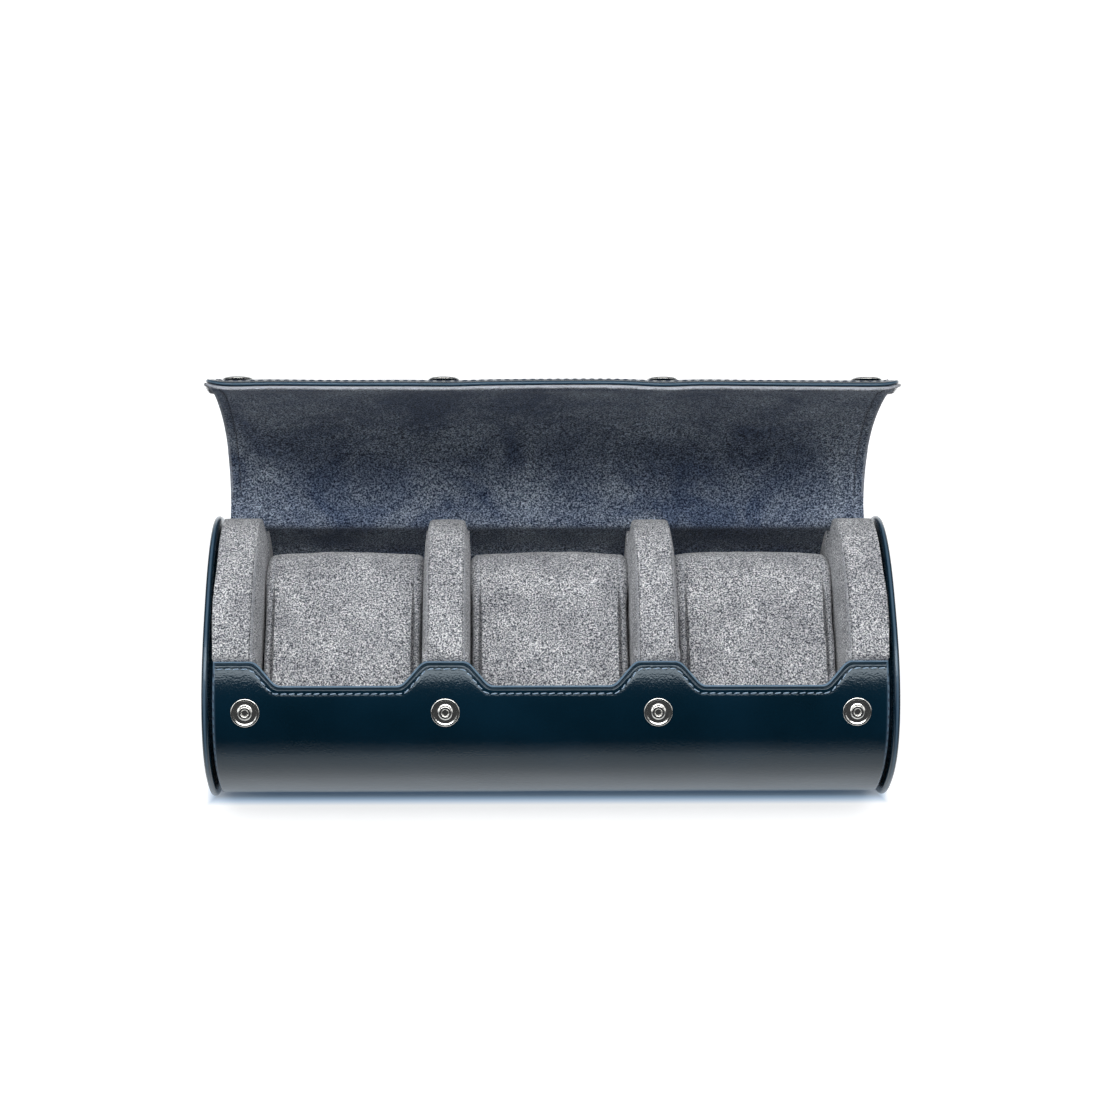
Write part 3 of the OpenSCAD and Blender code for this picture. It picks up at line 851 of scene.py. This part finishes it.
def make_pad(name, x_low, x_high, seed, open_low=True, open_high=True):
    """Velvet pad between two places along the case, sewn where it is open. The lid presses it down."""
    both = open_low and open_high
    spring = 2.2 * MM if both else 2.9 * MM
    width = x_high - x_low
    low = PAD_STEPS if open_low else PAD_HIDDEN_STEPS
    high = [width - d for d in (PAD_STEPS if open_high else PAD_HIDDEN_STEPS)][::-1]
    places = low + list(np.linspace(low[-1], high[0], 5)[1:-1]) + high
    middle = pad_ring(0, 0).mean(0)
    rows = []
    for place in places:
        fall = pad_fall(min(place if open_low else 1, width - place if open_high else 1))
        swell = 0.35 * MM * math.sin(math.pi * min(max(place / width, 0), 1)) if both else 0
        ring = pad_ring(fall - swell, spring)
        nap = 0.12 * MM * ripple(ring[:, 0] + place, ring[:, 1], seed, ((0.021, 1), (0.009, 0.6)))
        inward = smoothstep(ring[:, 1] - AXIS_Z, 12 * MM)
        rows.append(ring_at(x_low + place, ring - unit(ring - middle) * (np.abs(nap) * inward)[:, None]))
    shares = (0.97, 0.9, 0.75, 0.5, 0.25, 0.06)
    puff = 0.9 * MM
    first = end_rings(rows[0], middle, shares, -puff * open_low, 3)[::-1]
    last = end_rings(rows[-1], middle, shares, puff * open_high, 3)
    rows = np.array(first + rows + last)
    rows[..., 0] = np.clip(rows[..., 0], x_low - 0.5 * MM * open_low, x_high + 0.5 * MM * open_high)
    above_lip = smoothstep(rows[..., 2] - PAD_CLEAR, 3 * MM)
    reach = TROUGH_HALF - 0.05 * MM + 1.25 * MM * above_lip
    rows[..., 0] = np.clip(rows[..., 0], -reach, reach)
    obj = piece(name, rows, closed_faces(*rows.shape[:2]), VELVET)
    x = rows[..., 0]
    from_edge = np.minimum(x - x_low if open_low else 1, x_high - x if open_high else 1)
    on_rim = smoothstep(rows[..., 2] - PAD_CLEAR + 4 * MM, 2 * MM)
    # Painted shade in the seam groove, and a painted highlight along the corner beside it.
    mark(obj, "seam", rows, 0.6 * groove(from_edge, PAD_SEAM, 0.2 * MM) * on_rim)
    mark(obj, "painted_highlight_and_raw_edge", rows, 0.35 * groove(from_edge, PAD_SEAM - 0.6 * MM, 0.32 * MM) * on_rim)
    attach(obj, "case")
    stem = name.replace("_pad", "")
    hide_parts(stem + "_velvet", stem + "_core")
    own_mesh(obj)


# ---- Pillows ----

PILLOW_HALF = BAY_HALF - 1.0 * MM
PILLOW_D = 79 * MM
PILLOW_BACK = 3 * MM
PILLOW_WAIST = 7 * MM
PILLOW_TOP = HALF_H - 18.6 * MM
PILLOW_LOW = HALF_H - BODY_STEP - WALL_T - 0.3 * MM
PILLOW_CROWN = 1.2 * MM
PILLOW_END = 2.7 * MM
PILLOW_SEAM = 3.3 * MM
PUFF_MOST = 2.6 * MM


def pillow_ring(inset, count):
    t = np.radians(np.arange(count) * 360 / count - 180)
    up = np.sin(t) >= 0
    power = np.where(up, 2 / 3, POWER)
    high = np.where(up, PILLOW_TOP + PILLOW_WAIST, PILLOW_LOW - PILLOW_WAIST)
    y = PILLOW_BACK - (PILLOW_D / 2 - inset) * signed_pow(np.cos(t), power)
    z = AXIS_Z - PILLOW_WAIST + (high - inset) * signed_pow(np.sin(t), power)
    return np.stack([y, z], -1)


def pillow_rows(places, count, shrink=0.0, seam=True):
    """Rings of a pillow between its two ends, and the rings that close each end."""
    rows = []
    for d in places:
        near = min(d, 2 * PILLOW_HALF - d)
        crown = PILLOW_CROWN * (1 - math.sin(math.pi / 2 * min(1, near / PILLOW_HALF)))
        fall = PILLOW_END * rounding(near, PILLOW_END)
        cut = 0.95 * MM * groove(near, PILLOW_SEAM, 0.3 * MM) if seam else 0
        rows.append(ring_at(d - PILLOW_HALF, pillow_ring(crown + fall + cut + shrink, count)))
    middle = np.array([PILLOW_BACK, AXIS_Z - PILLOW_WAIST])
    shares = (0.94, 0.8, 0.6, 0.35, 0.1)
    first, last = (end_rings(rows[i], middle, shares, sign * 0.7 * MM) for i, sign in ((0, -1), (-1, 1)))
    return np.array(first[::-1] + rows + last)


def puffed_tree():
    """Blows a slightly small pillow up with cloth pressure and returns its surface for lookups."""
    places = np.linspace(0, 2 * PILLOW_HALF, 24)
    rows = pillow_rows(places, 64, 0.9 * MM, False)
    obj = piece("puff_form", rows, closed_faces(*rows.shape[:2]), VELVET)
    remesh = obj.modifiers.new("remesh", "REMESH")
    remesh.mode = "VOXEL"
    remesh.voxel_size = 4 * MM
    graph = bpy.context.evaluated_depsgraph_get()
    mesh = bpy.data.meshes.new_from_object(obj.evaluated_get(graph))
    obj.modifiers.clear()
    obj.data = mesh
    start = np.array([v.co for v in mesh.vertices])
    cloth = obj.modifiers.new("cloth", "CLOTH")
    cloth.settings.use_pressure = True
    cloth.settings.uniform_pressure_force = 4
    cloth.settings.effector_weights.gravity = 0
    cloth.settings.quality = 6
    scene = bpy.context.scene
    scene.frame_start, scene.frame_end = 1, 20
    for number in range(1, 21):
        scene.frame_set(number)
    graph = bpy.context.evaluated_depsgraph_get()
    moved = np.array([v.co for v in obj.evaluated_get(graph).data.vertices])
    scene.frame_set(1)
    move = moved - start
    size = np.linalg.norm(move, axis=1)[:, None]
    end = start + move * np.minimum(1, PUFF_MOST / np.maximum(size, 1e-9))
    faces = [tuple(p.vertices) for p in mesh.polygons]
    bpy.data.objects.remove(obj)
    return BVHTree.FromPolygons(end.tolist(), faces)


PUFF = puffed_tree()


def make_pillow(name, x, seed):
    """Lift-out pillow: the blown-up form on clean rings, with its end seams and brushed nap."""
    seam_steps = (-0.35, -0.18, 0, 0.18, 0.35, 0.6, 1.1)
    ends = edge_steps(PILLOW_END, 6) + [PILLOW_SEAM + step * MM for step in seam_steps]
    middle = list(np.linspace(5.6 * MM, 2 * PILLOW_HALF - 5.6 * MM, 32))
    places = ends + middle + [2 * PILLOW_HALF - d for d in ends[::-1]]
    count = 128
    rows = pillow_rows(places, count)
    obj = piece(name, rows, closed_faces(*rows.shape[:2]), VELVET)
    from_end = PILLOW_HALF - np.abs(rows[..., 0])
    # Painted shade in the end seam's groove, and a painted highlight beside it toward the end.
    mark(obj, "seam", rows, 0.75 * groove(from_end, PILLOW_SEAM, 0.26 * MM))
    mark(obj, "painted_highlight_and_raw_edge", rows, 0.3 * groove(from_end, PILLOW_SEAM - 0.75 * MM, 0.3 * MM))
    mesh = obj.data
    co = np.array([v.co for v in mesh.vertices])
    normals = np.array([v.normal for v in mesh.vertices])
    lift = np.zeros(len(co))
    if PUFF is not None:
        for i, point in enumerate(co):
            near = PUFF.find_nearest(Vector(point))[0]
            lift[i] = (np.array(near) - point) @ normals[i]
    lift = np.clip(lift, -0.5 * MM, 0.35 * MM)
    back = smoothstep(co[:, 1] - 8 * MM, 20 * MM)
    lift += 1.3 * MM * back * smoothstep(co[:, 2] - AXIS_Z, 9 * MM)
    below = smoothstep(AXIS_Z - co[:, 2], 8 * MM)
    lift = np.where(lift > 0, lift * (1 - below), lift)
    nap = 0.28 * MM * ripple(co[:, 0], co[:, 1] + co[:, 2], seed, ((0.034, 1), (0.017, 0.8), (0.008, 0.35)))
    lift += (nap - 0.15 * MM) * (1 - below)
    co += normals * lift[:, None]
    co[:, 0] += x
    mesh.vertices.foreach_set("co", co.ravel())
    mesh.update()
    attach(obj, name)
    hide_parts(name + "_velvet", name + "_core")


# ---- Stitching ----

def stitches(name, paths, pitch, length, radius, material, lift=0.25, slant=7.0):
    """Rows of short sewn stitches along paths of (points, outward directions)."""
    rings = sides = 6
    verts, faces = [], []
    for points, normals in paths:
        run = run_along(points)
        count = int(run[-1] / pitch)
        for k in range(count):
            start = (k + 0.5) * run[-1] / count - length / 2
            at = np.linspace(start, start + length, rings)
            centre = np.stack([np.interp(at, run, points[:, i]) for i in range(3)], -1)
            normal = unit(np.stack([np.interp(at, run, normals[:, i]) for i in range(3)], -1))
            along = unit(np.gradient(centre, axis=0))
            across = np.cross(normal, along)
            u = np.linspace(-1, 1, rings)
            centre = centre + across * (u * length / 2 * math.tan(math.radians(slant)))[:, None]
            bow = np.sqrt(np.maximum(1 - u ** 2 * 0.96, 0))
            centre = centre + normal * (radius * (lift + 1.0) * bow - radius * 0.9)[:, None]
            size = radius * (0.45 + 0.55 * bow)
            faces += closed_faces(rings, sides, len(verts) * rings * sides)
            verts.append(centre[:, None] + size[:, None, None] * circle(across, normal, sides))
    return piece(name, verts, faces, material, 1e-9)


def wrap_path(s, x, depth, inward=False):
    """Points of a sewn line on the wrap, and the directions that point out of its face."""
    points = wrap(s, x, depth)
    beyond = wrap(s, x, depth + (1 if inward else -1) * 0.1 * MM)
    return points, unit(beyond - points)


def lid_outline(inset, s_from, s_to):
    """Lines of (s, x) at a distance inside the lid's outline, from one row to another."""
    radius, half, edge = LID_CORNER - inset, LID_HALF - inset, S_EDGE - inset
    if s_to < S_EDGE:
        return [np.array([(s, side * half) for s in np.linspace(s_from, s_to, 160)]) for side in (-1, 1)]
    turn = np.linspace(0, math.pi / 2, 40)
    left = [(s, -half) for s in np.linspace(s_from, edge - radius, 200)]
    left += [(edge - radius + radius * math.sin(a), -half + radius - radius * math.cos(a)) for a in turn]
    free = [(edge, x) for x in np.linspace(-half + radius, half - radius, 300)[1:-1]]
    return [np.array(left + free + [(s, -x) for s, x in left[::-1]])]


STITCH = dict(pitch=3.1 * MM, length=2.45 * MM, radius=0.27 * MM)


def make_lip_stitches():
    x = np.linspace(-SHEET_HALF + 1.2 * MM, SHEET_HALF - 1.2 * MM, 1400)
    path = wrap_path(lip_row(x, SEWN_LIP), x, 0.1 * MM)
    obj = stitches("lip_stitches", [path], material=THREAD_LIGHT, **STITCH)
    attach(obj, "case")


def make_side_stitches():
    """Sewn line that joins the trough's leather to each disc."""
    s = np.linspace(4 * MM, S_HINGE - 8 * MM, 900)
    paths = [wrap_path(s, np.full_like(s, side * (SHEET_HALF - 0.55 * MM)), 0.22 * MM) for side in (-1, 1)]
    obj = stitches("end_stitches", paths, 3.2 * MM, 1.9 * MM, 0.2 * MM, THREAD_DARK)
    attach(obj, "case")


def make_lid_stitches():
    parts = (("rear", S_HINGE + 10 * MM, S_REAR_END, blend_hinge),
             ("front", S_REAR_END, S_FRONT_END, blend_fold),
             ("strip", S_FRONT_END, S_EDGE, blend_strip))
    for name, low, high, bend in parts:
        lines = lid_outline(SEWN_IN, low, high)
        outside = [wrap_path(*line.T, 0.08 * MM) for line in lines]
        inside = [wrap_path(*line.T, LID_T - 0.28 * MM, True) for line in lines]
        obj = stitches(name + "_lid_stitches", outside, material=THREAD_DARK, **STITCH)
        bend(obj)
        obj = stitches(name + "_lining_stitches", inside, 3.1 * MM, 2.2 * MM, 0.2 * MM, THREAD_DARK)
        bend(obj)


def make_pad_stitches():
    """Sewn lines along the rims of the pads."""
    t = np.linspace(LIP_HIGH + 4, HINGE_AT - 8, 240)
    fall = section(t, lid_inset(t) + LID_T + RIM_GAP + 0.35 * MM)
    out = ring_at(0, unit(section(t, lid_inset(t) + LID_T + RIM_GAP - 0.65 * MM) - fall))
    places = (WALL_IN + PAD_SEAM, DIVIDER[0] + PAD_SEAM, DIVIDER[1] - PAD_SEAM)
    paths = [(ring_at(side * x, fall), out) for side in (-1, 1) for x in places]
    obj = stitches("pad_stitches", paths, 2.6 * MM, 1.9 * MM, 0.15 * MM, THREAD_GREY)
    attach(obj, "case")


# ---- Snaps ----

LID_FACE_H = float((section(SNAP_AT, lid_inset(SNAP_AT)) - SNAP_POINT) @ SNAP_OUT)
LID_INNER_H = float((section(SNAP_AT, lid_inset(SNAP_AT) + LID_T) - SNAP_POINT) @ SNAP_OUT)


def turned(name, profile, material, opened, sides=56):
    """Four turned pieces at the snaps from a half profile of (radius, height) in millimetres."""
    verts, faces = [], []
    axis, side_way = np.array([0, *SNAP_OUT]), np.array([1.0, 0, 0])
    ring = circle(side_way, np.cross(axis, side_way), sides)
    for number, x in enumerate(SNAP_XS):
        faces += closed_faces(len(profile), sides, number * len(profile) * sides)
        verts += [np.array([x, *SNAP_POINT]) + axis * h * MM + ring * max(r, 0.001) * MM for r, h in profile]
    verts = np.concatenate(verts)
    if opened:
        verts[:, 1:] = open_strip(verts[:, 1:])
    return piece(name, verts, faces, material, 1e-8)


def make_snaps():
    low = LID_FACE_H / MM
    dome = [(5.75 * math.cos(a) ** 0.75, low + 0.28 + 1.12 * math.sin(a) ** 0.9)
            for a in np.radians(np.linspace(0, 89.5, 14))]
    stem = [(r, low + h) for r, h in ((0.01, -0.9), (1.5, -0.9), (1.5, -0.02), (4.9, -0.02), (5.55, 0.06))]
    inner = LID_INNER_H / MM
    socket = [(5.75, 1.2), (5.8, 0.3), (5.6, 0.04), (5.1, -0.06), (4.5, 0.02), (4.15, 0.22),
              (3.9, 0.06), (3.6, 0), (3.42, 0.12), (3.4, 0.9), (0.01, 0.9)]
    socket = [(r, inner + h) for r, h in socket]
    top = inner + 0.8
    stud = [(5.2, -0.3), (5.5, -0.05), (5.5, 0.18), (5.35, 0.36), (5.05, 0.45), (4.7, 0.4), (4.45, 0.24),
            (4.1, 0.16), (3.3, 0.2), (2.85, 0.34), (2.5, 0.6), (2.32, 0.8), (2.36, top - 0.34),
            (2.45, top - 0.16), (2.35, top - 0.03), (2.1, top), (1.6, top - 0.03), (1.32, top - 0.15),
            (1.2, top - 0.4), (1.15, 0.3), (0.01, 0.25)]
    for name, profile, body, node in (("cap_domes", stem + dome, "lid_strip", "snap_caps"),
                                      ("socket_rings", socket, "lid_strip", "snap_sockets"),
                                      ("stud_rings", stud, "case", "snap_studs")):
        obj = turned(name, profile, METAL, body == "lid_strip")
        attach(obj, body)
        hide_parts(node)


# ---- Raw velvet edge ----

def make_fuzz():
    """Short fibres that stand out of the raw velvet along the lid's free edge and corners."""
    rng = np.random.default_rng(12)
    line = lid_outline(0.0, S_FRONT_END + 1 * MM, S_EDGE)[0]
    run = run_along(line)
    count = 5200
    at = np.sort(rng.uniform(0, run[-1], count))
    s, x = (np.interp(at, run, way) for way in line.T)
    step = 0.2 * MM
    ds, dx = (np.interp(at + step, run, way) - np.interp(at - step, run, way) for way in line.T)
    size = np.hypot(ds, dx)
    out_s, out_x = np.abs(dx) / size, np.sign(x) * np.abs(ds) / size
    past = VELVET_PAST * out_s
    depth = LID_T - rng.uniform(0.1, 0.8, count) * MM
    s0 = s + past - 0.35 * MM * out_s
    x0 = x - 0.3 * MM * out_x
    reach = rng.uniform(0.35, 0.95, count) * MM
    lean = rng.uniform(-0.5, 0.5, (count, 2)) * MM
    root = wrap(s0, x0, depth)
    far = reach + 0.3 * MM
    tip = wrap(s0 + far * out_s, x0 + far * out_x + lean[:, 0] * 0.7, depth + lean[:, 1])
    along = unit(tip - root)
    side = unit(np.cross(along, [0.3, 0.5, 0.81]))
    ring = 0.045 * MM * circle(side, np.cross(along, side), 3)
    verts = np.stack([root[:, None] + ring, tip[:, None] + 0.35 * ring], 1)
    faces = [face for number in range(count) for face in closed_faces(2, 3, 6 * number)]
    obj = piece("velvet_fuzz", verts, faces, VELVET, 1e-9)
    blend_strip(obj)


# ---- Stage: camera first ----

def make_camera():
    """Fitted to the middle view of the photograph."""
    cam = placed("camera", bpy.data.cameras.new("camera"))
    focal_px, image_px = 2448.67, 1100
    cam.location = (-0.0222, -0.4174, 0.9246)
    cam.rotation_euler = [math.radians(a) for a in (27.720, -1.149, -0.663)]
    cam.data.sensor_width = 36
    cam.data.lens = 36 * focal_px / image_px
    cam.data.clip_start, cam.data.clip_end = 0.01, 20
    bpy.context.scene.camera = cam


def make_light(name, location, target, size, power, color=(1, 1, 1)):
    data = bpy.data.lights.new(name, "AREA")
    data.shape = "RECTANGLE"
    data.size, data.size_y = size
    data.energy = power
    data.color = color
    lamp = placed(name, data)
    lamp.location = location
    lamp.rotation_euler = (Vector(target) - Vector(location)).to_track_quat("-Z", "Y").to_euler()


FLOOR_REACH = 4.0
SOLE_SHADE_HALF = 43 * MM


def make_world():
    """White to the camera. To all else it is white at the horizon, under a dim ceiling."""
    world = bpy.data.worlds.new("studio")
    bpy.context.scene.world = world
    graph = Graph(world)
    white, dim = (1, 1, 1, 1), (0.05, 0.053, 0.056, 1)
    room = graph.ramp(graph.place_xyz("Generated")["Z"], [(0.0, white), (0.03, dim)])
    path = graph.nodes.new("ShaderNodeLightPath")
    seen = graph.mixed("MIX", path.outputs["Is Camera Ray"], room, white)
    graph.feed(graph.nodes["Background"].inputs["Color"], seen)


def make_floor():
    """White sheet. It glows a little where it is seen directly or in a gloss, more further out. By the case
    that light is a painted contact shadow, less and bluer; in a gloss it is a painted reflection, dark by
    the case, brightest some 5 to 15 cm off and dimmer far away.
    """
    look = Shader("white_floor", (0.45, 0.45, 0.45, 1), 0.6, Specular_IOR_Level=0.2)
    white = [(0.3, (0.44, 0.44, 0.44)), (0.7, (0.46, 0.46, 0.46))]
    look.drive("Base Color", look.ramp(look.noise(60, 3), white))
    place = look.place_xyz()
    past_end = look.calc("SUBTRACT", look.calc("ABSOLUTE", place["X"]), CASE_HALF)
    past_side = look.calc("SUBTRACT", look.calc("ABSOLUTE", place["Y"]), SOLE_SHADE_HALF)
    away = look.calc("MAXIMUM", past_end, past_side)
    # Painted contact shadow: seen directly, the floor is dark and bluish at the case and lightens to full
    # within about 5 mm.
    glow_with_painted_shadow = look.ramp(look.calc("DIVIDE", away, 6 * MM),
                     [(0.0, (0.04, 0.07, 0.115)), (0.16, (0.07, 0.11, 0.16)), (0.36, (0.19, 0.28, 0.39)),
                      (0.6, (0.45, 0.54, 0.65)), (0.85, (0.78, 0.79, 0.8))])
    # Painted reflection: what a gloss sees of the floor, dark and bluish by the case, brightest some 5 to 15
    # cm off, and dimmer far away.
    painted_reflection_glow = look.ramp(look.calc("DIVIDE", away, 0.6),
                         [(0.0, (0.09, 0.13, 0.18)), (0.015, (0.38, 0.46, 0.54)),
                          (0.04, (0.75, 0.83, 0.91)), (0.08, (0.92, 0.96, 1)), (0.25, (0.95, 0.98, 1)),
                          (0.55, (0.36, 0.39, 0.42)), (1.0, (0.14, 0.16, 0.18))])
    path = look.nodes.new("ShaderNodeLightPath").outputs
    look.drive("Emission Color", look.mixed("MIX", path["Is Glossy Ray"], glow_with_painted_shadow, painted_reflection_glow))
    direct = look.calc("MAXIMUM", path["Is Camera Ray"], path["Is Glossy Ray"])
    seen = look.calc("MAXIMUM", direct, path["Is Transmission Ray"])
    far = look.calc("MULTIPLY_ADD", look.calc("MINIMUM", away, 1.0), 0.3, 1.0)
    look.drive("Emission Strength", look.calc("MULTIPLY", seen, far))
    corners = [(x * FLOOR_REACH, y * FLOOR_REACH, 0) for x, y in ((-1, -1), (1, -1), (1, 1), (-1, 1))]
    floor = piece("floor", corners, [(0, 1, 2, 3)], look.mat)
    floor.location.z = -0.05 * MM


make_camera()
make_floor()
make_world()
make_light("overhead", (0, -0.01, 1.22), (0, 0, 0.05), (1.6, 0.44), 15)
make_light("left", (-1.3, -0.1, 0.8), (0, 0, 0.05), (0.8, 1.0), 5, (0.97, 0.985, 1))
make_light("right", (1.3, -0.1, 0.8), (0, 0, 0.05), (0.8, 1.0), 3.6)
bpy.context.scene.view_settings.view_transform = "Standard"

make_rear_leather()
make_front_leather()
make_rear_lining()
make_front_lining()
make_disc(-1, "left_end_disc")
make_disc(1, "right_end_disc")
make_pad("left_wall_pad", -TROUGH_HALF - 1.2 * MM, -WALL_IN, 21, open_low=False)
make_pad("right_wall_pad", WALL_IN, TROUGH_HALF + 1.2 * MM, 22, open_high=False)
make_pad("left_divider_pad", -DIVIDER[1], -DIVIDER[0], 23)
make_pad("right_divider_pad", DIVIDER[0], DIVIDER[1], 24)
make_pillow("left_pillow", -BAY_PITCH, 31)
make_pillow("middle_pillow", 0, 32)
make_pillow("right_pillow", BAY_PITCH, 33)
make_lip_stitches()
make_side_stitches()
make_lid_stitches()
make_pad_stitches()
make_snaps()
make_fuzz()

rivets = frame["nodes"]["stud_rivets"]
rivets.data.materials.clear()
rivets.data.materials.append(METAL)
